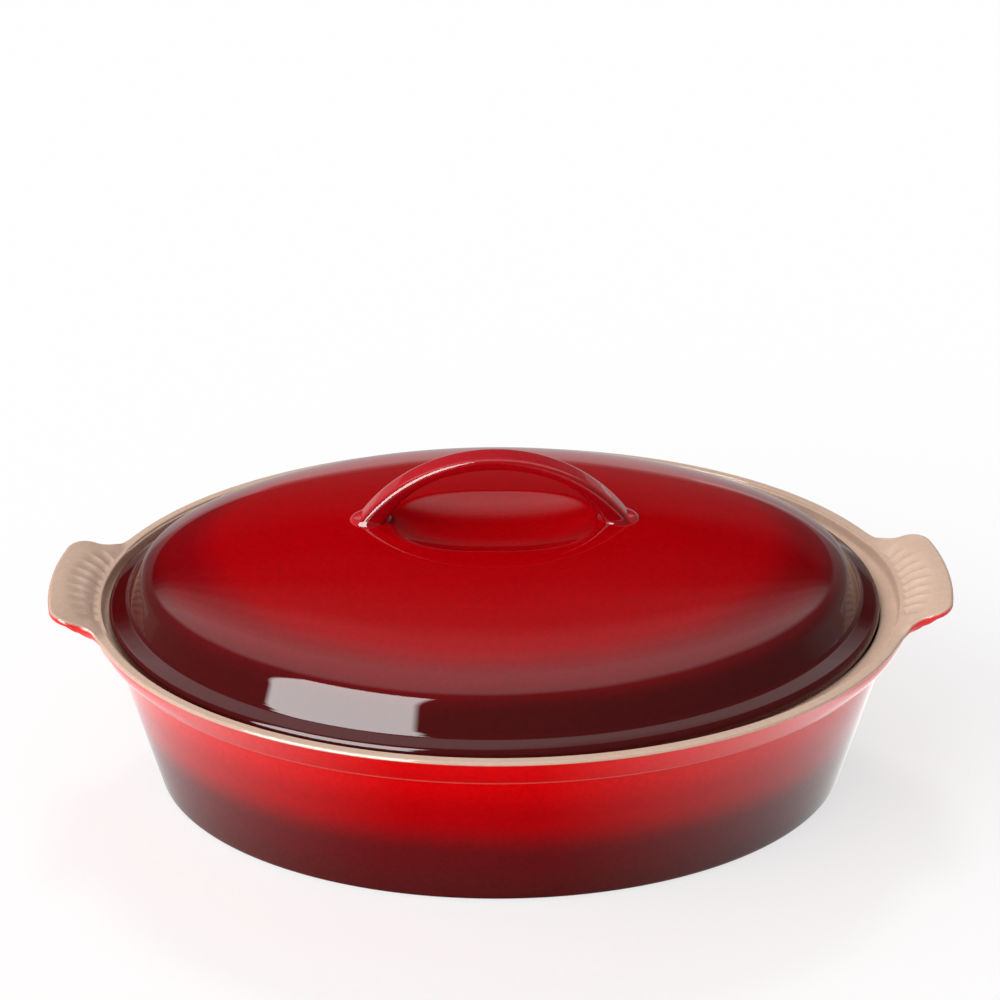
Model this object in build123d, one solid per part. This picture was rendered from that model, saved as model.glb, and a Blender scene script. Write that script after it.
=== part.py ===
from build123d import *
import math
import os

# Covered oval casserole in glazed stoneware: a dish with two fluted fan handles,
# a domed lid that drops into a gallery inside the rim, and a strap handle on the lid.
# Millimetres, +Z up, +X along the two side handles. The origin is under the middle
# of the dish, on the surface that it stands on.

# Dish, outside. Lengths run along X and widths along Y, and the waist and the base are
# set in from the rim, so the flare of the wall stays the same when the dish is resized.
overall_length = 427.0
rim_width = 300.4
rim_height = 95.7
lip_width = 5.2
lip_round = 1.3
collar_height = 17.7
collar_step = 1.1
waist_inset_x = 9.8
waist_inset_y = 12.1
base_inset_x = 27.9
base_inset_y = 32.4
foot_round = 2.5

# Dish, inside
wall = 6.5
floor = 7.5
floor_round = 18.0
gallery_depth = 6.2
gallery_draft = 1.2
ledge_width = 8.0

# Side handles: a plate that sweeps up and out of the rim and fans out to its tip
handle_reach = 18.7
handle_width = 83.0
neck_width = 79.0
neck_offset = 1.0
root_width = 118.0
corner_setback = 6.5
corner_round = 12.0
corner_flare = 6.8
tip_rise = 7.4
crest_setback = 13.0
crest_drop = 1.0
crest_slope = 2.3
tip_thickness = 3.6
web_reach = 6.0
web_depth = 6.4
edge_round = 1.2
inner_lean = 42.0

# Flutes in the inner face of each handle
flute_count = 9
flute_pitch = 8.0
flute_fan_radius = 48.0
flute_radius = 3.6
flute_bend = 12.0
flute_depth = 1.1
flute_sink = 0.6
flute_slope = 48.0
flute_fade = 7.0
flute_run = 12.0
flute_lead = 9.0

# Lid
seat_play = 3.2
lid_off_centre = 0.7
flange_thickness = 5.4
flange_width = 7.2
flange_rise = 3.2
flange_round = 1.2
dome_rise = 35.7
dome_fullness = 1.316
lid_wall = 6.0

# Finger well sunk in the crown of the lid
well_length = 100.0
well_width = 68.0
well_depth = 9.0
well_taper = 0.9
well_curve = 0.8
well_round = 2.0

# Strap handle on the lid
strap_width = 14.0
strap_thickness = 6.3
strap_reach = 128.0
strap_height = 33.2
strap_round = 1.8
strap_offset = -0.8
inner_flat_radius = 80.0
inner_flat_half = 29.0
inner_leg_radius = 36.0
foot_length = 21.5
foot_width = 16.4
foot_height = 4.4
foot_proud = 4.2
leg_sink = 8.0

# How far a cutter or a blank runs past the surface that it cuts or meets
overrun = 2.0

# Worked out from the sizes above
rim_length = overall_length - 2 * handle_reach
waist_length = rim_length - 2 * waist_inset_x
waist_width = rim_width - 2 * waist_inset_y
waist_height = rim_height - collar_height
base_length = rim_length - 2 * base_inset_x
base_width = rim_width - 2 * base_inset_y
ledge_height = rim_height - gallery_depth
gallery_length = rim_length - 2 * (lip_width + gallery_draft)
gallery_width = rim_width - 2 * (lip_width + gallery_draft)
flange_length = gallery_length - 2 * seat_play
flange_span = gallery_width - 2 * seat_play
lid_shift = -lid_off_centre * seat_play
shoulder_foot = ledge_height + flange_thickness + flange_rise
dome_length = flange_length - 2 * flange_width
dome_width = flange_span - 2 * flange_width
crown_height = shoulder_foot + dome_rise
strap_centre = lid_shift + strap_offset


def oval(length, width, height):
    """A level oval face, the section that every body here is drawn through."""
    return Pos(0, 0, height) * Ellipse(length / 2, width / 2)


def drafted(lower, upper):
    """A straight-sided solid between two ovals, each a length, a width and a height."""
    return loft([oval(*lower), oval(*upper)], ruled=True)


def level_edges(body, height):
    """The edges of a body that lie level at a height."""
    return body.edges().filter_by(
        lambda edge: abs(edge.bounding_box().min.Z - height) < 0.01
        and abs(edge.bounding_box().max.Z - height) < 0.01)


def dish_bowl():
    """The plain tapered wall with its rounded foot, and the leaning collar above it."""
    body = drafted((base_length, base_width, 0), (waist_length, waist_width, waist_height))
    body = fillet(body.edges().group_by(Axis.Z)[0], foot_round)
    collar = drafted(
        (waist_length + 2 * collar_step, waist_width + 2 * collar_step, waist_height),
        (rim_length, rim_width, rim_height),
    )
    collar = fillet(collar.edges().group_by(Axis.Z)[-1], lip_round)
    return body + collar


def dish_hollow():
    """The cooking space, round at the floor, and the gallery that takes the lid."""
    cavity = drafted(
        (base_length - 2 * wall, base_width - 2 * wall, floor),
        (gallery_length - 2 * ledge_width, gallery_width - 2 * ledge_width, ledge_height),
    )
    cavity = fillet(cavity.edges().group_by(Axis.Z)[0], floor_round)
    gallery = drafted(
        (gallery_length, gallery_width, ledge_height),
        (rim_length - 2 * lip_width, rim_width - 2 * lip_width, rim_height),
    )
    return cavity + gallery


def flared(stations):
    """A smooth flaring solid over the rim oval: each station is an offset and a height."""
    return loft([oval(rim_length + 2 * out, rim_width + 2 * out, z) for out, z in stations])


def funnel():
    """The space above the rim, which leans the inner face of each handle outwards."""
    height = tip_rise + overrun
    out = height * math.tan(math.radians(inner_lean))
    length = rim_length - 2 * lip_width
    width = rim_width - 2 * lip_width
    return drafted(
        (length, width, rim_height),
        (length + 2 * out, width + 2 * out, rim_height + height),
    )


def handle_outline():
    """Half-fan outline in plan, from the rim through the narrow neck to the broad tip."""
    tip_x = overall_length / 2
    corner_x = tip_x - corner_setback
    neck_x = rim_length / 2 + neck_offset
    root_y = root_width / 2
    root_x = rim_length / 2 * math.sqrt(1 - (root_width / rim_width) ** 2)
    rim_tangent = Vector(rim_length ** 2 * root_y, -rim_width ** 2 * root_x).normalized()
    flare = math.tan(math.radians(corner_flare))
    sides = []
    for side in (1, -1):
        neck = Spline(
            (root_x, side * root_y),
            (neck_x, side * neck_width / 2),
            (corner_x, side * handle_width / 2),
            tangents=[(rim_tangent.X, side * rim_tangent.Y), (1, side * flare)],
        )
        sides.append(neck)
    tip = ThreePointArc(sides[0] @ 1, (tip_x, 0), sides[1] @ 1)
    root = Line(sides[1] @ 0, sides[0] @ 0)
    outline = make_face(Curve() + [sides[0], tip, sides[1], root])
    corners = outline.vertices().group_by(Axis.X)[-1]
    return fillet(corners, corner_round)


def handle_crown():
    """Everything under the top face, which sweeps up from the rim to the level tip."""
    tip_x = overall_length / 2
    root_x = rim_length / 2 * math.sqrt(1 - (root_width / rim_width) ** 2)
    top_z = rim_height + tip_rise
    end_slope = math.tan(math.radians(crest_slope))
    sweep = Spline((root_x, 0, rim_height), (tip_x - crest_setback, 0, top_z - crest_drop),
                   (tip_x, 0, top_z), tangents=[(1, 0, 0), (1, 0, end_slope)])
    under = Polyline(sweep @ 1, (tip_x, 0, 0), (root_x, 0, 0), sweep @ 0)
    return extrude(make_face(Curve() + [sweep, under]), handle_width, both=True)


def handle_web():
    """Everything above the underside, which flares out of the collar to the thin tip."""
    tip_z = rim_height + tip_rise - tip_thickness
    waist_out = collar_step - waist_inset_x
    return flared([
        (waist_out, waist_height),
        (waist_out / 3, rim_height - web_depth),
        (web_reach, (rim_height + tip_z - overrun) / 2),
        (handle_reach + overrun / 2, tip_z),
        (handle_reach + 2 * overrun, tip_z + tip_rise),
    ])


def side_handle():
    """One fan handle at the +X end, before its flutes are pressed in."""
    blank = extrude(handle_outline(), rim_height + 2 * tip_rise)
    plate = blank & handle_crown() & handle_web()
    root_x = plate.bounding_box().min.X
    rim_edges = plate.edges().filter_by(
        lambda edge: edge.center().Z > waist_height + web_depth
        and edge.center().X > root_x + overrun / 2)
    return fillet(rim_edges, edge_round)


def flute():
    """One round-bottomed flute: up the inner face, over the crest and out of the top."""
    bottom = flute_bend - flute_depth + flute_radius
    pivot_z = rim_height + tip_rise - flute_sink - flute_bend
    pivot = Vector(flute_bend + flute_radius, 0, pivot_z)
    steep = math.radians(90 + flute_slope)
    fade = math.radians(90 + flute_fade)
    middle = (steep + fade) / 2
    spots = []
    for angle in (steep, middle, fade):
        spots.append(pivot + Vector(math.cos(angle), 0, math.sin(angle)) * bottom)
    lead = Line(spots[0] + Vector(-math.sin(steep), 0, math.cos(steep)) * -flute_lead, spots[0])
    over = ThreePointArc(*spots)
    run = Line(spots[2], spots[2] + Vector(math.sin(fade), 0, -math.cos(fade)) * flute_run)
    path = Wire([lead.edge(), over.edge(), run.edge()])
    section = Plane(path @ 0, z_dir=path % 0) * Circle(flute_radius)
    return sweep(section, path)


def flutes():
    """The fan of flutes for the handle at the +X end."""
    fan_x = rim_length / 2 - flute_fan_radius
    groove = flute()
    cutters = []
    for index in range(flute_count):
        angle = (index - (flute_count - 1) / 2) * flute_pitch
        place = Pos(fan_x, 0, 0) * Rot(0, 0, angle) * Pos(flute_fan_radius - lip_width, 0, 0)
        cutters.append(place * groove)
    return cutters


def casserole_dish():
    """The dish in one fired piece: bowl, collar, gallery and two fluted handles."""
    handle = side_handle()
    body = dish_bowl() + handle + mirror(handle, Plane.YZ)
    body = body - dish_hollow() - funnel()
    grooves = flutes()
    body = body - grooves
    body = body - [mirror(groove, Plane.YZ) for groove in grooves]
    return body


def dome(inset):
    """The domed body of the lid, or its hollow when it is inset by the wall thickness."""
    sections = []
    for step in (0, 13, 25, 36, 47, 57, 67, 76, 84):
        angle = math.radians(step)
        width = (dome_width - 2 * inset) * math.cos(angle)
        height = shoulder_foot - inset + dome_rise * math.sin(angle) ** dome_fullness
        sections.append(oval(width + dome_length - dome_width, width, height))
    return loft(sections)


def finger_well(grow):
    """The sunken oval under the strap, grown for the shell that hangs beneath it."""
    top = crown_height + overrun
    bottom = crown_height - well_depth - grow
    slope = 2 * well_depth * well_taper
    well = drafted(
        (well_length - slope + 2 * grow, well_width - slope + 2 * grow, bottom),
        (well_length + 2 * grow, well_width + 2 * grow, top),
    )
    return fillet(well.edges().group_by(Axis.Z)[0], well_depth * well_curve)


def lid():
    """The lid in one fired piece: flat flange, full dome and the finger well."""
    edge_top = ledge_height + flange_thickness
    flange = drafted((flange_length, flange_span, ledge_height),
                     (flange_length, flange_span, edge_top))
    slope = drafted((flange_length, flange_span, edge_top),
                    (dome_length, dome_width, shoulder_foot))
    inside_length = dome_length - 2 * lid_wall
    inside_width = dome_width - 2 * lid_wall
    mouth = drafted((inside_length, inside_width, ledge_height),
                    (inside_length, inside_width, shoulder_foot - lid_wall))
    plate = flange + slope
    plate = fillet(level_edges(plate, edge_top), flange_round)
    sunk = plate + dome(0) - finger_well(0)
    brink = sunk.edges().filter_by(lambda edge: edge.center().Z > crown_height - well_depth / 2)
    sunk = fillet(brink, well_round)
    hollow = mouth + dome(lid_wall) - finger_well(lid_wall)
    return Pos(lid_shift, 0, 0) * (sunk - hollow)


def strap_face():
    """Front view of the strap: a round outer arch over a flatter, thicker-legged inner one."""
    reach = strap_reach / 2
    outer_radius = (reach ** 2 + strap_height ** 2) / (2 * strap_height)
    top = crown_height + strap_height
    foot_z = crown_height - leg_sink
    centre_z = top - outer_radius
    drop = math.sqrt(outer_radius ** 2 - (foot_z - centre_z) ** 2)
    outer = ThreePointArc((-drop, 0, foot_z), (0, 0, top), (drop, 0, foot_z))
    inner_top = top - strap_thickness
    lean = math.asin(inner_flat_half / inner_flat_radius)
    flat_z = inner_top - inner_flat_radius * (1 - math.cos(lean))
    leg_x = inner_flat_half - inner_leg_radius * math.sin(lean)
    leg_z = flat_z - inner_leg_radius * math.cos(lean)
    edges = [outer]
    crown = ThreePointArc((-inner_flat_half, 0, flat_z), (0, 0, inner_top),
                          (inner_flat_half, 0, flat_z))
    edges.append(crown)
    for side in (1, -1):
        knee = (side * (leg_x + inner_leg_radius), 0, leg_z)
        mid_angle = (math.pi / 2 - lean) / 2
        middle = (side * (leg_x + inner_leg_radius * math.cos(mid_angle)), 0,
                  leg_z + inner_leg_radius * math.sin(mid_angle))
        edges.append(ThreePointArc((side * inner_flat_half, 0, flat_z), middle, knee))
        edges.append(Line(knee, (side * drop, 0, foot_z)))
    return make_face(Curve() + edges)


def strap_foot(side):
    """The flattened round foot that spreads one leg of the strap over the dome."""
    centre_x = side * (strap_reach / 2 + foot_proud - foot_length / 2)
    foot = scale(Sphere(1), by=(foot_length / 2, foot_width / 2, foot_height))
    return Pos(centre_x, 0, crown_height) * foot


def lid_handle():
    """The strap handle with a rounded foot at each end, seated on the dome."""
    strap = extrude(strap_face(), strap_width / 2, both=True)
    side_edges = strap.edges().filter_by(GeomType.CIRCLE)
    strap = fillet(side_edges, strap_round) + strap_foot(1) + strap_foot(-1)
    strap = Pos(strap_centre, 0, 0) * strap
    seat = Pos(lid_shift, 0, 0) * dome(0)
    return strap - seat


def write(name, shape):
    """Write one named piece as its own STEP file."""
    shape.label = name
    export_step(shape, os.path.join("parts", name + ".step"))


os.makedirs("parts", exist_ok=True)
write("casserole_dish", casserole_dish())
write("lid", lid())
write("lid_handle", lid_handle())
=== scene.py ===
"""Covered oval casserole in red glazed stoneware, with its lid on, in a plain pale studio."""
import math

import bpy
import numpy as np
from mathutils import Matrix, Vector


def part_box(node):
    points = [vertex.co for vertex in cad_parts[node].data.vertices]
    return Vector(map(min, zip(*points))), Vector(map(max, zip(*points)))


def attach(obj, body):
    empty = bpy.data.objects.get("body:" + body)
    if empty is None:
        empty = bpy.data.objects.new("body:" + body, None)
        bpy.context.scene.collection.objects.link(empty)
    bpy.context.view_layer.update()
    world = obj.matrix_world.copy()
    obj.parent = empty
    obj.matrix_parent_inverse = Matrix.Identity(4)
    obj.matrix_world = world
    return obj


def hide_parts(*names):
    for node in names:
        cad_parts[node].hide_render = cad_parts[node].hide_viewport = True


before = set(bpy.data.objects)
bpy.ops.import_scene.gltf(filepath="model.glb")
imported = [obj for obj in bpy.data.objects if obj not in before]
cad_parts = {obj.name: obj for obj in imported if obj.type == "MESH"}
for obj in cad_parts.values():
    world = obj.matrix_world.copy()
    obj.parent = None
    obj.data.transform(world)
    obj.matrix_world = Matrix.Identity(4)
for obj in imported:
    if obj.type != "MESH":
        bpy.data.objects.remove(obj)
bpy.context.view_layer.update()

# Sizes below are millimetres in the part's own frame. The overall ones come from the part.
MM = 0.001


def corners(node):
    """Lowest and highest corner of a CAD node, in millimetres."""
    low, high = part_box(node)
    return np.array(low) / MM, np.array(high) / MM


_, dish_high = corners("casserole_dish")
lid_low, lid_high = corners("lid")
strap_low, strap_high = corners("lid_handle")

# Dish. A and B are an oval's half sizes along X and Y.
HANDLE_REACH = 18.7
RIM_A = dish_high[0] - HANDLE_REACH
RIM_B = dish_high[1] - 0.02
TIP_X = dish_high[0]
TOP_Z = dish_high[2]
TIP_RISE = 7.4
RIM_Z = TOP_Z - TIP_RISE
RIM_ROUND = 1.3
WAIST_A, WAIST_B, WAIST_Z = RIM_A - 9.8, RIM_B - 11.1, RIM_Z - 17.7
BASE_A, BASE_B = RIM_A - 27.9, RIM_B - 31.4
FOOT_ROUND = 2.5
COLLAR_STEP = 1.1
COLLAR_START = COLLAR_STEP * 1.05
COLLAR_RISE = 0.6
COLLAR_INSET = 0.55
LIP_WIDTH = 5.2
LIP_A = RIM_A - LIP_WIDTH
LIP_B = RIM_B - LIP_WIDTH + 0.3
GALLERY_DEPTH = 6.2
LEDGE_Z = RIM_Z - GALLERY_DEPTH
LEDGE_END = 9.3
LEDGE_EDGE = 1.4
WALL = 6.5
FLOOR_Z = 7.5
FLOOR_ROUND = 18.0

# Side handles
ROOT_Y = 59.0
NECK = (RIM_A + 1.0, 39.5)
CORNER = (TIP_X - 6.5, 41.5)
CORNER_ROUND = 12.0
CORNER_SLOPE = 0.12
TIP_THICKNESS = 3.6
EDGE_ROUND = 1.5
EDGE_THICKNESS = 3.0
NECK_EXTRA = 1.6
FACE_TROUGH = 1.6
FACE_ANGLE = 42
FAN_X = RIM_A - 48.0
FLUTE_COUNT = 9
FLUTE_PITCH = 8.0
FLUTE_DEPTH = 1.25
FLUTE_END = 60.5

# Lid
LID_X = (lid_low[0] + lid_high[0]) / 2 - 0.8
FLANGE_A = (lid_high[0] - lid_low[0]) / 2 - 2.4
FLANGE_B = (lid_high[1] - lid_low[1]) / 2
FLANGE_WIDTH = 7.2
FLANGE_THICK = 5.4
FLANGE_RISE = 3.2
DOME_A = FLANGE_A - FLANGE_WIDTH - 1.8
DOME_B = FLANGE_B - FLANGE_WIDTH
DOME_STRETCH = DOME_A - DOME_B
SHOULDER_Z = LEDGE_Z + FLANGE_THICK + FLANGE_RISE
DOME_RISE = 35.7
CROWN_Z = SHOULDER_Z + DOME_RISE
FULLNESS = 1.316
WALL_SLOPE = 1.6
LID_WALL = 6.0
WELL_A, WELL_B, WELL_DEPTH = 46.0, 29.6, 8.4
WELL_Y = -1.4
WELL_POWER = 2.7
BRINK = 0.9
BRINK_UNDERSIDE = 3.4
JOIN = 0.42
LID_AROUND = 360

# Strap handle
STRAP_X = (strap_low[0] + strap_high[0]) / 2
STRAP_WIDTH = 14.0
STRAP_THICK = 6.3
STRAP_REACH = 64.0
STRAP_HEIGHT = strap_high[2] - CROWN_Z
STRAP_SQUARE = 4.0
STRAP_STEPS, STRAP_AROUND = 72, 32
FOOT_X = STRAP_REACH - 6.0
FOOT_A, FOOT_B, FOOT_C = 10.2, 8.2, 4.8

# How fine the meshes are
COLUMN_STEP, RIM_COLUMNS, FACE_RINGS = 0.8, 77, 34
WELL_RINGS, CROWN_RINGS, SHOULDER_RINGS = 110, 42, 40
STRAP_VOXEL, STRAP_SOFTENING = 0.4, 12


def linear(value):
    value = value / 255
    return value / 12.92 if value <= 0.04045 else ((value + 0.055) / 1.055) ** 2.4


def colour(r, g, b):
    """A screen colour, 0 to 255, as the shaders take it."""
    return (linear(r), linear(g), linear(b), 1.0)


def grey(value):
    return (value, value, value, 1.0)


# Glaze
CREAM = colour(216, 187, 167)
CREAM_DARK = colour(208, 177, 157)
DISH_TONES = ((0.05, colour(94, 28, 28)), (0.30, colour(106, 22, 25)), (0.58, colour(184, 1, 8)),
              (0.82, colour(222, 1, 6)), (0.95, colour(236, 2, 8)))
LID_TONES = ((0.5, colour(170, 0, 8)), (0.72, colour(166, 2, 10)), (0.86, colour(126, 4, 12)),
             (0.97, colour(75, 7, 9)))
STRAP_TONES = ((0.3, colour(166, 1, 12)), (1.0, colour(140, 1, 12)))
# a paler pink painted on the strap's upper face, a painted sheen
STRAP_PAINTED_SHEEN = colour(184, 34, 42)
RIPPLE = 0.00012

# Studio
FLOOR_SIZE = 6.0
FLOOR_WHITE = 0.68
# brightness of the floor's painted reflection in the glaze
FLOOR_PAINTED_REFLECTION = 1.7
PANEL_LIGHT = 2.05
AMBIENT_LIGHT = 0.60
ROOM_LIGHT = 0.24
FAINT_LIGHT = 0.012
WINDOW_LIGHT = 20.0
WINDOW_PLANES = ((-0.4635, -0.8409, -0.2799, 0.025), (0.528, -0.7914, 0.3086, -0.04),
                 (-0.9535, 0.2894, -0.0834, 0.015))
LOW_BAND = 0.17
LOW_LIGHT = 0.5
LOW_TINT = (1.0, 0.76, 0.62, 1.0)


def smooth_min(a, b, k):
    """The lower of a and b, rounded over a band k wide."""
    h = np.clip(0.5 + 0.5 * (b - a) / k, 0, 1)
    return b * (1 - h) + a * h - k * h * (1 - h)


def smooth_max(a, b, k):
    return -smooth_min(-a, -b, k)


def ease(x):
    """0 below 0, 1 above 1 and a smooth rise between."""
    x = np.clip(x, 0, 1)
    return x * x * (3 - 2 * x)


def blend(a, b, weight):
    return a * (1 - weight) + b * weight


def add_object(name, data):
    obj = bpy.data.objects.new(name, data)
    bpy.context.scene.collection.objects.link(obj)
    return obj


def ring_mesh(name, rings, skin=None):
    """A closed surface through rings of points, each an (n, 3) array in millimetres, with a fan
    of faces over each end. skin is one value for each ring or for each point, kept as an
    attribute that the glaze reads."""
    rings = np.array(rings, float)
    count, around, _ = rings.shape
    points = (rings.reshape(-1, 3) * MM).tolist()
    faces = []
    for j in range(count - 1):
        for i in range(around):
            k = (i + 1) % around
            faces.append((j * around + i, j * around + k, (j + 1) * around + k, (j + 1) * around + i))
    values = None
    if skin is not None:
        skin = np.array(skin, float)
        values = list(np.repeat(skin, around) if skin.ndim == 1 else skin.reshape(-1))
    for j in (0, count - 1):
        points.append((rings[j].mean(axis=0) * MM).tolist())
        hub = len(points) - 1
        if values is not None:
            values.append(values[j * around])
        for i in range(around):
            k = (i + 1) % around
            edge = (j * around + k, j * around + i) if j == 0 else (j * around + i, j * around + k)
            faces.append((*edge, hub))
    mesh = bpy.data.meshes.new(name)
    mesh.from_pydata(points, [], faces)
    mesh.shade_smooth()
    if values is not None:
        attribute = mesh.attributes.new("skin", "FLOAT", "POINT")
        attribute.data.foreach_set("value", np.array(values, np.float32))
    return add_object(name, mesh)


# ---------------------------------------------------------------- plan of the dish

def cubic_side():
    """Side edge of a handle in plan, from the rim past the neck to the corner."""
    root_x = RIM_A * math.sqrt(1 - (ROOT_Y / RIM_B) ** 2)
    rim_slope = -(RIM_B ** 2 * root_x) / (RIM_A ** 2 * ROOT_Y)
    knots = np.array([(root_x, ROOT_Y), NECK, CORNER])
    gaps = np.linalg.norm(np.diff(knots, axis=0), axis=1)
    first = np.array([1, rim_slope]) / math.hypot(1, rim_slope)
    last = np.array([1, CORNER_SLOPE]) / math.hypot(1, CORNER_SLOPE)
    middle = (3 * ((knots[1] - knots[0]) * gaps[1] / gaps[0] + (knots[2] - knots[1]) * gaps[0] / gaps[1])
              - gaps[1] * first - gaps[0] * last) / (2 * (gaps[0] + gaps[1]))
    slopes = [first, middle, last]
    points = []
    for n in range(2):
        for u in np.linspace(0, 1, 60, endpoint=(n == 1)):
            h00, h10 = 2 * u ** 3 - 3 * u ** 2 + 1, u ** 3 - 2 * u ** 2 + u
            h01, h11 = -2 * u ** 3 + 3 * u ** 2, u ** 3 - u ** 2
            points.append(h00 * knots[n] + h10 * gaps[n] * slopes[n]
                          + h01 * knots[n + 1] + h11 * gaps[n] * slopes[n + 1])
    return np.array(points)


def handle_outline():
    """Half the outline of the +X handle in plan, from the middle of the tip to the rim."""
    half, sag = CORNER[1], TIP_X - CORNER[0]
    radius = (half ** 2 + sag ** 2) / (2 * sag)
    middle = TIP_X - radius
    turn = math.asin(half / radius)
    tip = np.array([(middle + radius * math.cos(a), radius * math.sin(a)) for a in np.linspace(0, turn, 80)])
    side = cubic_side()[::-1]
    # the corner is rounded by a circle that touches the tip's arc and the side
    reach = radius - CORNER_ROUND
    best = None
    for x in np.linspace(CORNER[0] - 14, CORNER[0] - 6, 400):
        y = math.sqrt(reach ** 2 - (x - middle) ** 2)
        gap = np.min(np.linalg.norm(side - (x, y), axis=1)) - CORNER_ROUND
        if best is None or abs(gap) < abs(best[0]):
            best = (gap, x, y)
    _, cx, cy = best
    begin = math.atan2(cy, cx - middle)
    near = np.argmin(np.linalg.norm(side - (cx, cy), axis=1))
    end = math.atan2(side[near][1] - cy, side[near][0] - cx)
    corner = np.array([(cx + CORNER_ROUND * math.cos(a), cy + CORNER_ROUND * math.sin(a))
                       for a in np.linspace(begin, end, 40)])
    tip = tip[np.arctan2(tip[:, 1], tip[:, 0] - middle) < begin]
    return np.vstack([tip, corner, side[near + 1:]])


def resample(points, step):
    """The same line with points an even step apart."""
    lengths = np.concatenate([[0], np.cumsum(np.linalg.norm(np.diff(points, axis=0), axis=1))])
    at = np.linspace(0, lengths[-1], max(8, int(round(lengths[-1] / step))) + 1)
    return np.stack([np.interp(at, lengths, points[:, i]) for i in range(2)], axis=1)


def ray_to_oval(angle, a, b):
    """How far it is from the fan's centre along each angle to an oval about the origin."""
    c, s = np.cos(angle), np.sin(angle)
    qa = (c / a) ** 2 + (s / b) ** 2
    qb = 2 * FAN_X * c / a ** 2
    qc = (FAN_X / a) ** 2 - 1
    return (-qb + np.sqrt(qb ** 2 - 4 * qa * qc)) / (2 * qa)


def columns():
    """A quarter of the dish as columns, from the tip of the handle to the middle of the side.
    For each: its angle on the wall and on the lip, its place on the outline, and how far the
    outline stands out from the rim there."""
    line = resample(handle_outline(), COLUMN_STEP)
    fan = np.maximum.accumulate(np.arctan2(line[:, 1], line[:, 0] - FAN_X))
    rim = ray_to_oval(fan, RIM_A, RIM_B)
    lip = ray_to_oval(fan, LIP_A, LIP_B)
    wall_angle = np.arctan2(rim * np.sin(fan) / RIM_B, (FAN_X + rim * np.cos(fan)) / RIM_A)
    lip_angle = np.arctan2(lip * np.sin(fan) / LIP_B, (FAN_X + lip * np.cos(fan)) / LIP_A)
    out = np.hypot(line[:, 0] - FAN_X, line[:, 1]) - rim
    rest = np.linspace(wall_angle[-1], math.pi / 2, RIM_COLUMNS)[1:]
    lag = wall_angle[-1] - lip_angle[-1]
    fade = ((math.pi / 2 - rest) / (math.pi / 2 - wall_angle[-1])) ** 3
    rim_line = np.stack([RIM_A * np.cos(rest), RIM_B * np.sin(rest)], axis=1)
    return (np.concatenate([wall_angle, rest]), np.concatenate([lip_angle, rest - lag * fade]),
            np.vstack([line, rim_line]), np.concatenate([np.maximum(out, 0), np.zeros(len(rest))]))


def oval_offset(x, y, a, b):
    """About how far a point lies outside an oval."""
    f = np.sqrt((x / a) ** 2 + (y / b) ** 2)
    return (f - 1) * f / np.sqrt((x / a ** 2) ** 2 + (y / b ** 2) ** 2)


# ---------------------------------------------------------------- dish

def handle_top(x, y):
    """Height of the cream face, which leans up from the lip and turns into the plate that fans
    out. The distance outside the lip and the plate's own height come with it."""
    root_x = RIM_A * math.sqrt(1 - (ROOT_Y / RIM_B) ** 2)
    u = np.clip((np.abs(x) - root_x) / (TIP_X - root_x), 0, 1)
    plate = RIM_Z + TIP_RISE * np.where(u < 1, 1 - (1 - u) ** 2.5 * (1 + 2.5 * u), 1)
    out = oval_offset(x, y, LIP_A, LIP_B)
    slope = 1 / math.tan(math.radians(FACE_ANGLE))
    face = RIM_Z + slope * (np.sqrt(np.maximum(out - 0.8, 0) ** 2 + FACE_TROUGH ** 2) - FACE_TROUGH)
    height = smooth_min(face, plate, 2.4) + 0.6 * np.exp(-np.maximum(plate - RIM_Z, 0) / 0.8)
    return height, out, plate


def flute_cut(x, y, out, plate):
    """Depth of the flutes: a fan of round hollows up the inner face and over the crest."""
    turn = np.degrees(np.arctan2(y, np.abs(x) - FAN_X)) / FLUTE_PITCH
    across = (turn - np.round(turn)) * 2
    hollow = 1 - np.abs(across) ** 2.2
    inside = ease((FLUTE_COUNT / 2 + 0.12 - np.abs(turn)) / 0.24)
    radial = np.hypot(np.abs(x) - FAN_X, y)
    start = ease((out - 1.0) / 2.5)
    end = ease((radial - FLUTE_END) / -9.0)
    return FLUTE_DEPTH * hollow * inside * start * end * ease((plate - RIM_Z) / 2.0)


def under_height(distance):
    """Height of a handle's flaring underside by its distance outside the rim: a line through
    knots, rounded by a running mean. Beyond the knots it goes on straight."""
    tip_under = TOP_Z - TIP_THICKNESS
    knots = ((-8.7, RIM_Z - 17.7), (-4.2, RIM_Z - 12.4), (-0.2, RIM_Z - 7.4), (4.0, RIM_Z - 3.0),
             (8.0, RIM_Z + 0.3), (12.0, RIM_Z + 2.9), (19.7, tip_under + 0.2), (24.0, tip_under + 0.6))
    xs, zs = zip(*knots)
    fine = np.linspace(xs[0], xs[-1], 400)
    raw = np.interp(fine, xs, zs)
    reach = 30
    kernel = np.hanning(2 * reach + 1)
    kernel /= kernel.sum()
    before = raw[0] + (fine[:reach] - fine[reach]) * 1.95
    after = raw[-1] + (fine[1:reach + 1] - fine[0]) * 0.1
    return np.interp(distance, fine, np.convolve(np.concatenate([before, raw, after]), kernel, "valid"))


class DishRings:
    """The dish's rings, each given as a quarter and mirrored. skin is 0 for red, 1 for cream."""

    def __init__(self):
        self.rings, self.skin = [], []

    def put(self, x, y, z, value):
        quarter = np.stack([x, y, np.broadcast_to(z, x.shape)], axis=1)
        half = np.vstack([quarter, quarter[::-1][1:] * (-1, 1, 1)])
        self.rings.append(np.vstack([half, half[::-1][1:-1] * (1, -1, 1)]))
        full = np.broadcast_to(value, x.shape)
        half = np.concatenate([full, full[::-1][1:]])
        self.skin.append(np.concatenate([half, half[::-1][1:-1]]))

    def level(self, a, b, z, angle, value):
        self.put(a * np.cos(angle), b * np.sin(angle), z, value)

    def last_height(self, count):
        return self.rings[-1][:count, 2]


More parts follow.
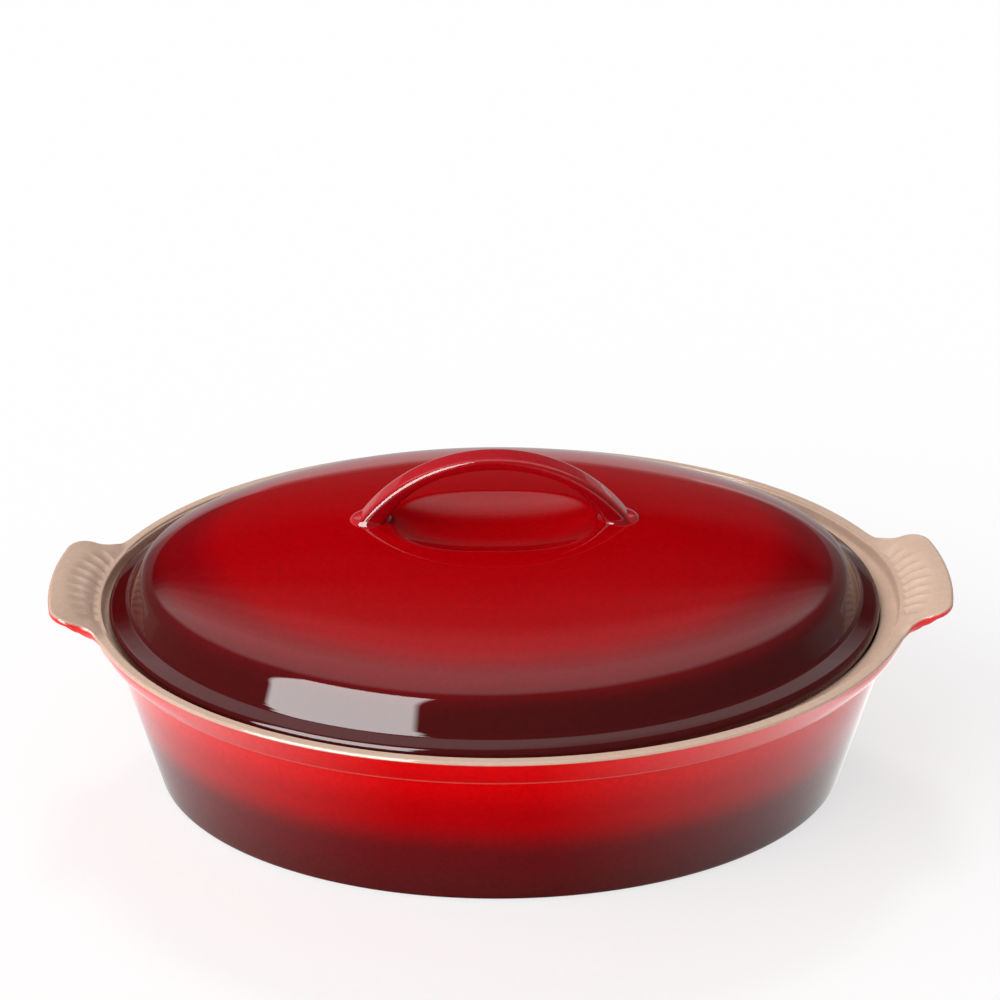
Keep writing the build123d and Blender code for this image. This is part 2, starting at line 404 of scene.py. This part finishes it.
def outer_wall(rings, wall):
    """Underside, rounded foot, wall and the soft step under the collar."""
    for share in (0.15, 0.4, 0.7, 0.9, 0.985):
        rings.level((BASE_A - FOOT_ROUND) * share, (BASE_B - FOOT_ROUND) * share, 0, wall, 0)
    lean = math.atan2(WAIST_A - BASE_A, WAIST_Z)
    for turn in np.linspace(0, math.pi / 2 - lean, 8):
        inset = FOOT_ROUND * (1 - math.sin(turn))
        z = FOOT_ROUND * (1 - math.cos(turn))
        shift = (WAIST_A - BASE_A) * z / WAIST_Z
        rings.level(BASE_A - inset + shift, BASE_B - inset + shift, z, wall, 0)
    foot_z = z
    for u in np.concatenate([np.linspace(0.02, 0.97, 15), [0.985, 0.993]]):
        z = foot_z + (WAIST_Z - foot_z) * u
        share = z / WAIST_Z
        rings.level(BASE_A + (WAIST_A - BASE_A) * share, BASE_B + (WAIST_B - BASE_B) * share, z, wall, 0)
    # a painted highlight: a pale line painted over the edge of the step, where the glaze also breaks thin
    for side, up, value in ((0.02, -0.1, 0), (0.16, 0.0, 0), (0.5, 0.04, 0), (0.84, 0.1, 0), (1.0, 0.3, 0),
                            (1.05, COLLAR_RISE, 0.22)):
        rings.level(WAIST_A + COLLAR_STEP * side, WAIST_B + COLLAR_STEP * side, WAIST_Z + up, wall, value)


def rim_and_handles(rings, wall, lip, edge, out):
    """Collar, the handles' undersides, the rounded outer edge and the cream top face. Where the
    weight handle is 1 the column is a handle's, and where it is 0 the rim's."""
    low_z = WAIST_Z + COLLAR_RISE
    handle = ease(out / 3.0)
    edge_round = RIM_ROUND + (EDGE_ROUND - RIM_ROUND) * handle
    tangent = np.gradient(edge, axis=0)
    normal = np.stack([tangent[:, 1], -tangent[:, 0]], axis=1)
    normal /= np.linalg.norm(normal, axis=1, keepdims=True)
    normal[0] = (1, 0)
    normal[-1] = (0, 1)
    start = np.stack([(WAIST_A + COLLAR_START) * np.cos(wall), (WAIST_B + COLLAR_START) * np.sin(wall)], axis=1)
    start_height = under_height(oval_offset(start[:, 0], start[:, 1], RIM_A, RIM_B))
    inner_edge = edge - normal * edge_round[:, None]
    edge_out = oval_offset(edge[:, 0], edge[:, 1], RIM_A, RIM_B)
    edge_top = blend(RIM_Z, np.minimum(handle_top(edge[:, 0], edge[:, 1])[0], TOP_Z), handle)
    handle_low = np.minimum(under_height(edge_out),
                            edge_top - EDGE_THICKNESS - NECK_EXTRA * ease((14.0 - edge_out) / 6.0))
    edge_low = blend(RIM_Z - RIM_ROUND, handle_low, ease(out / 9.0))
    # the collar stands more upright towards the two ends
    upright = ease((np.abs(np.cos(wall)) - 0.7) / 0.22)
    for q in np.linspace(0, 1, 17)[1:]:
        place = start + (inner_edge - start) * q
        distance = oval_offset(place[:, 0], place[:, 1], RIM_A, RIM_B)
        web_z = np.minimum(under_height(distance), edge_low + (distance - edge_out) * 0.02 + 10)
        web_z = low_z + (web_z - start_height)
        web_z = web_z + (edge_low - web_z) * ease((q - 0.6) / 0.4)
        plain_z = low_z + (RIM_Z - RIM_ROUND - low_z) * q
        bulge = (1 - (1 - q) ** (1 + upright))[:, None]
        plain = start + (edge - normal * COLLAR_INSET - start) * bulge
        spot = blend(plain, place, handle[:, None])
        rings.put(spot[:, 0], spot[:, 1], blend(plain_z, web_z, handle), 0.5 * (1 - handle) if q == 1 else 0)
    # rounded outer edge, over which red turns to cream
    bottom_z = rings.last_height(len(wall))
    middle_z = edge_top - edge_round
    low_turn = np.minimum(-60 * handle, -0.01)
    for q in np.linspace(0, 1, 11):
        turn = low_turn + (90 - low_turn) * q
        a = np.radians(turn)
        below = np.clip(np.sin(a) / np.sin(np.radians(low_turn)), 0, 1)
        z = np.where(turn < 0, middle_z - (middle_z - bottom_z) * below, middle_z + edge_round * np.sin(a))
        spot = edge + normal * (edge_round * (np.cos(a) - 1))[:, None]
        rings.put(spot[:, 0], spot[:, 1], z, ease((turn + 25 - 37 * handle) / 50.0))
    # top face, in to the lip
    lip_point = np.stack([LIP_A * np.cos(lip), LIP_B * np.sin(lip)], axis=1)
    edge_face = handle_top(inner_edge[:, 0], inner_edge[:, 1])[0]
    for q in np.linspace(0, 1, FACE_RINGS)[1:]:
        spot = inner_edge + (lip_point - inner_edge) * q
        z, away, plate = handle_top(spot[:, 0], spot[:, 1])
        z = z - flute_cut(spot[:, 0], spot[:, 1], away, plate)
        z = z + (edge_top - edge_face) * (1 - ease(q / 0.12))
        plain_z = RIM_Z - 1.2 * ease((q - 0.74) / 0.3) ** 2
        rings.put(spot[:, 0], spot[:, 1], blend(plain_z, z, handle), 1)


def hollow(rings, lip):
    """Gallery wall, ledge, cavity wall, round corner and floor."""
    lip_z = rings.last_height(len(lip))
    for side, down in ((0.35, 0.5), (0.55, 1.2), (0.7, 2.2), (0.85, 3.4), (1.0, 4.6), (1.25, 5.5), (1.9, 6.0),
                       (2.8, 6.2), (5.0, 6.2), (7.8, 6.2), (8.6, 6.3), (9.05, 6.7), (9.25, 7.4)):
        z = blend(lip_z, RIM_Z - down, min(down / 1.2, 1))
        rings.level(LIP_A - side, LIP_B - side, np.minimum(lip_z, z), lip, 1)
    top_a, top_b, top_z = LIP_A - LEDGE_END, LIP_B - LEDGE_END, LEDGE_Z - LEDGE_EDGE
    floor_a, floor_b = BASE_A - WALL, BASE_B - WALL
    corner_height, corner_width = FLOOR_ROUND * 0.85, FLOOR_ROUND * 1.05
    for u in np.linspace(0.03, 1, 14):
        z = top_z - (top_z - FLOOR_Z - corner_height) * u
        share = (LEDGE_Z - z) / (LEDGE_Z - FLOOR_Z)
        wall_a, wall_b = top_a + (floor_a - top_a) * share, top_b + (floor_b - top_b) * share
        rings.level(wall_a, wall_b, z, lip, 1)
    for turn in np.linspace(0, math.pi / 2, 12)[1:]:
        side = corner_width * (1 - math.cos(turn))
        rings.level(wall_a - side, wall_b - side, z - corner_height * math.sin(turn), lip, 1)
    for share in (0.85, 0.6, 0.35, 0.12):
        rings.level((wall_a - side) * share, (wall_b - side) * share, FLOOR_Z, lip, 1)


def dish_mesh():
    """The dish, from the middle of its underside out, up, over the rim and in to its floor."""
    wall, lip, edge, out = columns()
    rings = DishRings()
    outer_wall(rings, wall)
    rim_and_handles(rings, wall, lip, edge, out)
    hollow(rings, lip)
    return ring_mesh("dish_glazed", rings.rings, rings.skin)


# ---------------------------------------------------------------- lid

def dome_level(x, y, half_b):
    """The half-width of the dome's oval through a point, by halving."""
    low = np.full(x.shape, 1e-6)
    high = np.full(x.shape, half_b * 1.2)
    for _ in range(44):
        w = (low + high) / 2
        outside = (x / (w + DOME_STRETCH)) ** 2 + (y / w) ** 2 > 1
        low = np.where(outside, w, low)
        high = np.where(outside, high, w)
    return (low + high) / 2


def dome_profile(u):
    """Rise of the dome over its foot, for u from 0 in the middle to 1 at the foot."""
    return DOME_RISE * (1 - u * u) ** (FULLNESS / 2)


def shoulder_inset(u, weight):
    """How far inside the foot the dome's surface stands at the height of level u. Where the
    weight is 1, at the front and the two ends, the shoulder is fuller, and all round a
    straight steep wall leads down from it to the foot."""
    plain = DOME_B * (1 - u)
    fuller = DOME_B * (1 - math.sqrt(1 - (1 - u * u) ** FULLNESS))
    inset = plain + (fuller - plain) * weight * ease((u - JOIN) / 0.4)
    return smooth_max(inset, np.full(weight.shape, dome_profile(u) / WALL_SLOPE), 1.2)


def dome_height(x, y, inset):
    half_b = DOME_B - inset
    return SHOULDER_Z - inset + dome_profile(np.clip(dome_level(x, y, half_b) / half_b, 0, 1))


def well_height(x, y, grow):
    """Height of the finger well's surface, a shallow bowl, continued upwards past its rim."""
    across = np.abs(x / (WELL_A + grow)) ** WELL_POWER
    along = np.abs((y - WELL_Y) / (WELL_B + grow)) ** WELL_POWER
    r = (across + along) ** (1 / WELL_POWER)
    return CROWN_Z - WELL_DEPTH - grow + (WELL_DEPTH - 1.0) * r ** 2.6 + grow * 0.2


def lid_mesh():
    t = np.linspace(0, 2 * math.pi, LID_AROUND, endpoint=False)
    rings, skin = [], []

    def put(a, b, z, value):
        rings.append(np.stack([LID_X + a * np.cos(t), b * np.sin(t), np.broadcast_to(z, t.shape)], axis=1))
        skin.append(value)

    def crown(a, b, inset, brink, value):
        """A ring on the dome, or in the well where that is lower."""
        x, y = a * np.cos(t), b * np.sin(t)
        put(a, b, smooth_min(dome_height(x, y, inset), well_height(x, y, inset), brink), value)

    def shoulder(w, z, inset, brink, value):
        """A ring on the oval of half-width w, at height z or in the well where that is lower."""
        x, y = (w + DOME_STRETCH) * np.cos(t), w * np.sin(t)
        put(w + DOME_STRETCH, w, smooth_min(np.full(t.shape, z), well_height(x, y, inset), brink), value)

    # from the middle of the well out over the brink, then down the crown and the wall
    for q in np.linspace(0.04, 1, WELL_RINGS):
        crown((DOME_B * JOIN + DOME_STRETCH) * q ** 0.94, DOME_B * JOIN * q, 0.0, BRINK, 0)
    steep = 1 - np.linspace(1, 0.17, SHOULDER_RINGS) ** 2.2 * 0.14
    weight = ease((0.95 - np.sin(t)) / 0.9)
    for u in np.concatenate([np.linspace(JOIN, 0.86, CROWN_RINGS)[1:-1], steep]):
        shoulder(DOME_B - shoulder_inset(u, weight), SHOULDER_Z + dome_profile(u), 0.0, BRINK, 0)
    # foot of the dome, cove, sloping flange and its rounded edge
    for share, up in ((0.0, 0.75), (0.05, 0.3), (0.11, -0.02), (0.18, -0.3), (0.3, -0.75), (0.5, -1.55),
                      (0.7, -2.35), (0.82, -2.85), (0.9, -3.3), (0.95, -3.8), (0.985, -4.5), (1.0, -5.4),
                      (1.0, -7.2), (0.97, -8.1), (0.92, -8.5), (0.84, -8.6)):
        put(DOME_A + share * (FLANGE_A - DOME_A), DOME_B + share * (FLANGE_B - DOME_B), SHOULDER_Z + up, 0)
    # underside
    for side, value in ((3.0, 0), (-1.0, 1), (-4.5, 1), (-5.6, 1)):
        put(DOME_A + side, DOME_B + side, LEDGE_Z, value)
    inner_a, inner_b = DOME_A - LID_WALL, DOME_B - LID_WALL
    put(inner_a, inner_b, LEDGE_Z + 0.4, 1)
    put(inner_a, inner_b, SHOULDER_Z - LID_WALL, 1)
    for u in np.concatenate([1 - np.linspace(0.02, 0.25, 12) ** 1.5, np.linspace(0.86, JOIN, 16)]):
        w = inner_b * u
        shoulder(w, SHOULDER_Z - LID_WALL + dome_profile(u), LID_WALL, BRINK_UNDERSIDE, 1)
    for q in np.linspace(1, 0.05, 25)[1:]:
        crown((w + DOME_STRETCH) * q ** 0.94, w * q, LID_WALL, BRINK_UNDERSIDE, 1)
    return ring_mesh("lid_glazed", rings[::-1], skin[::-1])


# ---------------------------------------------------------------- strap

def strap_arc():
    """Radius of the strap's upper face and the height of its centre."""
    radius = (STRAP_REACH ** 2 + STRAP_HEIGHT ** 2) / (2 * STRAP_HEIGHT)
    return radius, CROWN_Z + STRAP_HEIGHT - radius


def strap_band():
    """The strap as a rounded band along its arch, thicker towards both ends."""
    radius, centre_z = strap_arc()
    sweep = math.acos((CROWN_Z - 5 - centre_z) / radius)
    power = 2 / STRAP_SQUARE
    sections = []
    for n in range(STRAP_STEPS + 1):
        a = -sweep + 2 * sweep * n / STRAP_STEPS
        radial = np.array([math.sin(a), math.cos(a)])
        thick = STRAP_THICK + 5.2 * ease((abs(a) / sweep - 0.35) / 0.65) ** 1.3
        middle = np.array([0, centre_z]) + radial * (radius - thick / 2)
        section = []
        for k in range(STRAP_AROUND):
            b = 2 * math.pi * k / STRAP_AROUND
            y = math.copysign(abs(math.cos(b)) ** power, math.cos(b)) * (STRAP_WIDTH / 2)
            up = math.copysign(abs(math.sin(b)) ** power, math.sin(b)) * thick / 2
            spot = middle + radial * up
            section.append((STRAP_X + spot[0], y, spot[1]))
        sections.append(section)
    return ring_mesh("strap_glazed", sections)


def strap_foot(side):
    """One flattened round foot, on the right where side is 1 and on the left where it is -1."""
    t = np.linspace(0, 2 * math.pi, 48, endpoint=False)
    foot = []
    for latitude in np.linspace(-85, 85, 21):
        c, s = math.cos(math.radians(latitude)), math.sin(math.radians(latitude))
        foot.append(np.stack([STRAP_X + side * FOOT_X + FOOT_A * c * np.cos(t), FOOT_B * c * np.sin(t),
                              np.full(t.shape, CROWN_Z - 1.6 + FOOT_C * s)], axis=1))
    return ring_mesh("strap_foot", foot)


def strap_mesh():
    """The band and its two feet, run together."""
    band = strap_band()
    parts = [band, strap_foot(1), strap_foot(-1)]
    bpy.ops.object.select_all(action="DESELECT")
    for part in parts:
        part.select_set(True)
    bpy.context.view_layer.objects.active = band
    bpy.ops.object.join()
    remesh = band.modifiers.new("run together", "REMESH")
    remesh.mode = "VOXEL"
    remesh.voxel_size = STRAP_VOXEL * MM
    remesh.use_smooth_shade = True
    soften = band.modifiers.new("soften", "SMOOTH")
    soften.iterations = STRAP_SOFTENING
    return band


# ---------------------------------------------------------------- nodes

class Value:
    """A number in a node tree. Arithmetic with it adds Math nodes."""

    def __init__(self, nodes, socket):
        self.nodes, self.socket = nodes, socket

    def __add__(self, other):
        return self.nodes.maths("ADD", self, other)

    def __sub__(self, other):
        return self.nodes.maths("SUBTRACT", self, other)

    def __rsub__(self, other):
        return self.nodes.maths("SUBTRACT", other, self)

    def __mul__(self, other):
        return self.nodes.maths("MULTIPLY", self, other)

    def __truediv__(self, other):
        return self.nodes.maths("DIVIDE", self, other)

    def __pow__(self, other):
        return self.nodes.maths("POWER", self, other)

    def __abs__(self):
        return self.nodes.maths("ABSOLUTE", self)

    def root(self):
        return self.nodes.maths("SQRT", self)

    def at_least(self, other):
        return self.nodes.maths("MAXIMUM", self, other)

    def clamped(self):
        """The last Math node's result, kept between 0 and 1."""
        self.socket.node.use_clamp = True
        return self


class Nodes:
    """A node tree with short helpers to add and join its nodes."""

    def __init__(self, tree):
        self.tree = tree

    def node(self, kind, **settings):
        node = self.tree.nodes.new(kind)
        for key, value in settings.items():
            setattr(node, key, value)
        return node

    def join(self, value, socket):
        """Sets a socket to a plain number or colour, or links a node's output to it."""
        if isinstance(value, (int, float, tuple)):
            socket.default_value = value
        else:
            self.tree.links.new(value.socket if isinstance(value, Value) else value, socket)

    def maths(self, operation, *values):
        node = self.node("ShaderNodeMath", operation=operation)
        for value, socket in zip(values, node.inputs):
            self.join(value, socket)
        return Value(self, node.outputs[0])

    def place(self, kind="Object"):
        """X, Y and Z of the shaded point in metres, or of the direction for Generated."""
        split = self.node("ShaderNodeSeparateXYZ")
        self.join(self.node("ShaderNodeTexCoord").outputs[kind], split.inputs[0])
        return [Value(self, output) for output in split.outputs]

    def noise(self, scale, detail=3.0):
        node = self.node("ShaderNodeTexNoise")
        node.inputs["Scale"].default_value = scale
        node.inputs["Detail"].default_value = detail
        self.join(self.node("ShaderNodeTexCoord").outputs["Object"], node.inputs["Vector"])
        return Value(self, node.outputs["Fac"])

    def rays(self, kind):
        return Value(self, self.node("ShaderNodeLightPath").outputs[kind])

    def ramp(self, factor, stops):
        node = self.node("ShaderNodeValToRGB")
        node.color_ramp.interpolation = "EASE"
        elements = node.color_ramp.elements
        while len(elements) > 1:
            elements.remove(elements[-1])
        elements[0].position, elements[0].color = stops[0]
        for at, value in stops[1:]:
            elements.new(at).color = value
        self.join(factor, node.inputs[0])
        return Value(self, node.outputs[0])

    def mix(self, factor, a, b, kind="MIX"):
        node = self.node("ShaderNodeMix", data_type="RGBA", blend_type=kind)
        for value, index in ((factor, 0), (a, 6), (b, 7)):
            self.join(value, node.inputs[index])
        return Value(self, node.outputs[2])

    def emission(self, strength):
        node = self.node("ShaderNodeEmission")
        self.join(strength, node.inputs["Strength"])
        return node.outputs[0]

    def choose(self, factor, a, b):
        """Shader a where the factor is 0 and shader b where it is 1."""
        node = self.node("ShaderNodeMixShader")
        for value, socket in zip((factor, a, b), node.inputs):
            self.join(value, socket)
        return node.outputs[0]

    def dull_base(self, roughness):
        """The material's Principled node, with no gloss of its own."""
        base = self.tree.nodes["Principled BSDF"]
        base.inputs["Roughness"].default_value = roughness
        base.inputs["Specular IOR Level"].default_value = 0.0
        return base


def new_material(name):
    material = bpy.data.materials.new(name)
    material.use_nodes = True
    return material, Nodes(material.node_tree)


# ---------------------------------------------------------------- glaze

def glaze(nodes, surface, rough=0.03, gloss=1.33):
    """Thick clear gloss over the fired colour, with the faint ripple of a real glaze."""
    base = nodes.dull_base(0.5)
    nodes.join(surface, base.inputs["Base Color"])
    base.inputs["Coat Weight"].default_value = 1.0
    base.inputs["Coat Roughness"].default_value = rough
    base.inputs["Coat IOR"].default_value = gloss
    bump = nodes.node("ShaderNodeBump")
    bump.inputs["Distance"].default_value = RIPPLE
    bump.inputs["Strength"].default_value = 1.0
    nodes.join(nodes.noise(26.0, 1.0), bump.inputs["Height"])
    for name in ("Coat Normal", "Normal"):
        nodes.join(bump.outputs[0], base.inputs[name])


def speckle(nodes, surface, amount=0.10):
    """Fine mottling of the fired colour."""
    dark = nodes.ramp(nodes.noise(420.0, 2.0), ((0.35, grey(1 - amount)), (0.65, grey(1.0))))
    return nodes.mix(1.0, surface, dark, "MULTIPLY")


def two_skins(nodes, red):
    """Mottled red or cream glaze, as the mesh's skin attribute says."""
    cream = speckle(nodes, nodes.mix(nodes.noise(60.0), CREAM, CREAM_DARK), 0.05)
    skin = nodes.node("ShaderNodeAttribute", attribute_name="skin").outputs["Fac"]
    return nodes.mix(skin, speckle(nodes, red), cream)


def dish_material():
    """Red that darkens to maroon down the wall, by height."""
    material, nodes = new_material("dish_glaze")
    _, _, z = nodes.place()
    height = (z / (RIM_Z * MM) + (nodes.noise(9.0) - 0.5) * 0.08).clamped()
    glaze(nodes, two_skins(nodes, nodes.ramp(height, DISH_TONES)), gloss=1.4)
    return material


def lid_material():
    """Red that darkens to maroon outwards, from 0 in the middle to 1 at the dome's foot."""
    material, nodes = new_material("lid_glaze")
    x, y, _ = nodes.place()
    u, v = (x - LID_X * MM) / (DOME_A * MM), y / (DOME_B * MM)
    out = (u * u + v * v).root() + (nodes.noise(8.0) - 0.5) * 0.07
    glaze(nodes, two_skins(nodes, nodes.ramp(out, LID_TONES)), rough=0.02)
    return material


def strap_material():
    """Red that darkens down both legs, and a painted sheen: a paler pink painted on the upper face."""
    material, nodes = new_material("handle_glaze")
    x, _, z = nodes.place()
    side = abs(x - STRAP_X * MM)
    red = nodes.ramp(side / (STRAP_REACH * MM), STRAP_TONES)
    radius, centre_z = strap_arc()
    drop = z - centre_z * MM
    reach = (side * side + drop * drop).root()
    # the upper face takes the paler pink, a painted sheen
    face = ((reach - (radius - 1.1) * MM) / (0.9 * MM)).clamped()
    glaze(nodes, speckle(nodes, nodes.mix(face, red, STRAP_PAINTED_SHEEN)), rough=0.02, gloss=1.42)
    return material


dish = dish_mesh()
dish.data.materials.append(dish_material())
lid = lid_mesh()
lid.data.materials.append(lid_material())
strap = strap_mesh()
strap.data.materials.clear()
strap.data.materials.append(strap_material())

for piece, node, body, name in ((dish, "casserole_dish", "casserole_dish", "dish_glaze"),
                                (lid, "lid", "lid", "lid_glaze"),
                                (strap, "lid_handle", "lid", "handle_glaze")):
    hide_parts(node)
    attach(piece, body)


# ---------------------------------------------------------------- studio

def floor_material():
    """Pale paper. For the camera it is part white by itself, which keeps the shadow light. In
    the glaze it shows a painted reflection: its middle is dark, a painted shade where the dish
    hides the light from it, and so is the part behind the dish."""
    material, nodes = new_material("studio_floor")
    base = nodes.dull_base(0.9)
    base.inputs["Base Color"].default_value = grey(0.95)
    clear = nodes.choose(nodes.rays("Is Camera Ray") * FLOOR_WHITE, base.outputs[0], nodes.emission(1.0))
    x, y, _ = nodes.place()
    # painted reflection of the floor, an emission seen by glossy rays: painted shade in the middle where the
    # dish hides the light, a little darker to the right, dimmer behind
    side = ((abs(x + 0.02) - 0.035) / 0.185).clamped()
    right = (x / 0.3).clamped()
    tone = side ** 1.6 * FLOOR_PAINTED_REFLECTION * (1.0 - right * 0.22) + 0.03
    behind = ((y - 0.12) / 0.1).clamped()
    tone = tone * (1.0 - behind) + behind * 0.6
    final = nodes.choose(nodes.rays("Is Glossy Ray"), clear, nodes.emission(tone))
    nodes.join(final, nodes.tree.nodes["Material Output"].inputs[0])
    return material


floor_mesh = bpy.data.meshes.new("studio_floor")
floor_mesh.from_pydata([(x * FLOOR_SIZE, y * FLOOR_SIZE, 0) for x, y in ((-1, -1), (1, -1), (1, 1), (-1, 1))],
                       [], [(0, 1, 2, 3)])
floor_obj = add_object("studio_floor", floor_mesh)
floor_mesh.materials.append(floor_material())


def ceiling(nodes, way):
    """A wide ceiling light, and the dim room in front of it. The light's front edge curves back
    at both sides, and it fades towards the back."""
    x, y, z = way
    up = z.at_least(0.02)
    u, v = x / up, y / up
    back = v - ((u * u + 0.09).root() - 0.3) * 0.8 + u * 0.04
    fade = nodes.ramp((back / 1.2).clamped(), (
        (0.0, grey(1.0)), (0.22, grey(1.0)), (0.30, grey(0.78)), (0.39, grey(0.56)), (0.52, grey(0.32)),
        (0.65, grey(0.10)), (0.78, grey(0.02)), (1.0, grey(0.0))))
    bend = u * u
    front = v - (bend * 0.64 - 0.10) - u.at_least(0.0) * 0.08
    under = (front / (bend * 0.08 + 0.06)).clamped()
    return under * PANEL_LIGHT * fade, (1.0 - under) * ROOM_LIGHT


def backdrop(nodes, way):
    """A pale sheet low down behind, brighter to the right."""
    x, y, z = way
    tone = nodes.ramp(z, ((0.0, grey(0.6)), (0.02, grey(0.26)), (0.06, grey(0.1)), (0.3, grey(0.06)),
                          (0.48, grey(0.0))))
    return tone * (x * 1.5 + 0.75).at_least(0.1) * (y / 0.2).clamped()


def side_window(way):
    """A tall soft box to the front left, between three planes."""
    x, y, z = way
    level = WINDOW_LIGHT
    for nx, ny, nz, shift in WINDOW_PLANES:
        above = (x * nx + y * ny) + (z * nz + shift)
        level = (above / 0.03).clamped() * level
    return level


def studio_world():
    """The room that the glaze reflects, a plain ambient light for everything else, stronger from
    the left, and white for the camera."""
    world = bpy.data.worlds.new("studio")
    bpy.context.scene.world = world
    world.use_nodes = True
    nodes = Nodes(world.node_tree)
    x, y, z = way = nodes.place("Generated")
    light, dim = ceiling(nodes, way)
    room = light + (dim + backdrop(nodes, way)) + FAINT_LIGHT + side_window(way)
    # warm pale things stand low down past the two handles
    low = ((LOW_BAND - z) / 0.05).clamped()
    wide = ((abs(x) - 0.5) / 0.1).clamped()
    behind = ((y - 0.36) / 0.06).clamped()
    band = low * wide * behind
    room = room * (1.0 - band) + band * LOW_LIGHT
    glossy = nodes.rays("Is Glossy Ray")
    ambient = (1.0 - glossy) * AMBIENT_LIGHT * (1.0 - x * 0.9)
    background = nodes.node("ShaderNodeBackground")
    nodes.join(nodes.mix(band * glossy, grey(1.0), LOW_TINT), background.inputs["Color"])
    nodes.join((room * glossy + ambient).at_least(nodes.rays("Is Camera Ray")), background.inputs["Strength"])
    nodes.join(background.outputs[0], world.node_tree.nodes["World Output"].inputs[0])


def sun(name, strength, azimuth, elevation, spread):
    """Even light from one side, left out of reflections. Azimuth is from the back, to the right."""
    lamp = bpy.data.lights.new(name, "SUN")
    lamp.energy = strength
    lamp.angle = math.radians(spread)
    obj = add_object(name, lamp)
    azimuth, elevation = math.radians(azimuth), math.radians(elevation)
    source = Vector((math.cos(elevation) * math.sin(azimuth), math.cos(elevation) * math.cos(azimuth),
                     math.sin(elevation)))
    obj.rotation_euler = (-source).to_track_quat("-Z", "Y").to_euler()
    obj.visible_glossy = False


studio_world()
sun("left_fill", 1.5, 236, 35, 50)
sun("back_key", 0.6, 0, 58, 12)

camera_data = bpy.data.cameras.new("camera")
camera_data.sensor_width = 36.0
camera_data.lens = 86.58
camera = add_object("camera", camera_data)
camera.location = (-0.01706, -0.9936, 0.66848)
camera.rotation_euler = (math.radians(62.114), 0, math.radians(-0.955))
bpy.context.scene.camera = camera

bpy.context.scene.view_settings.view_transform = "Standard"
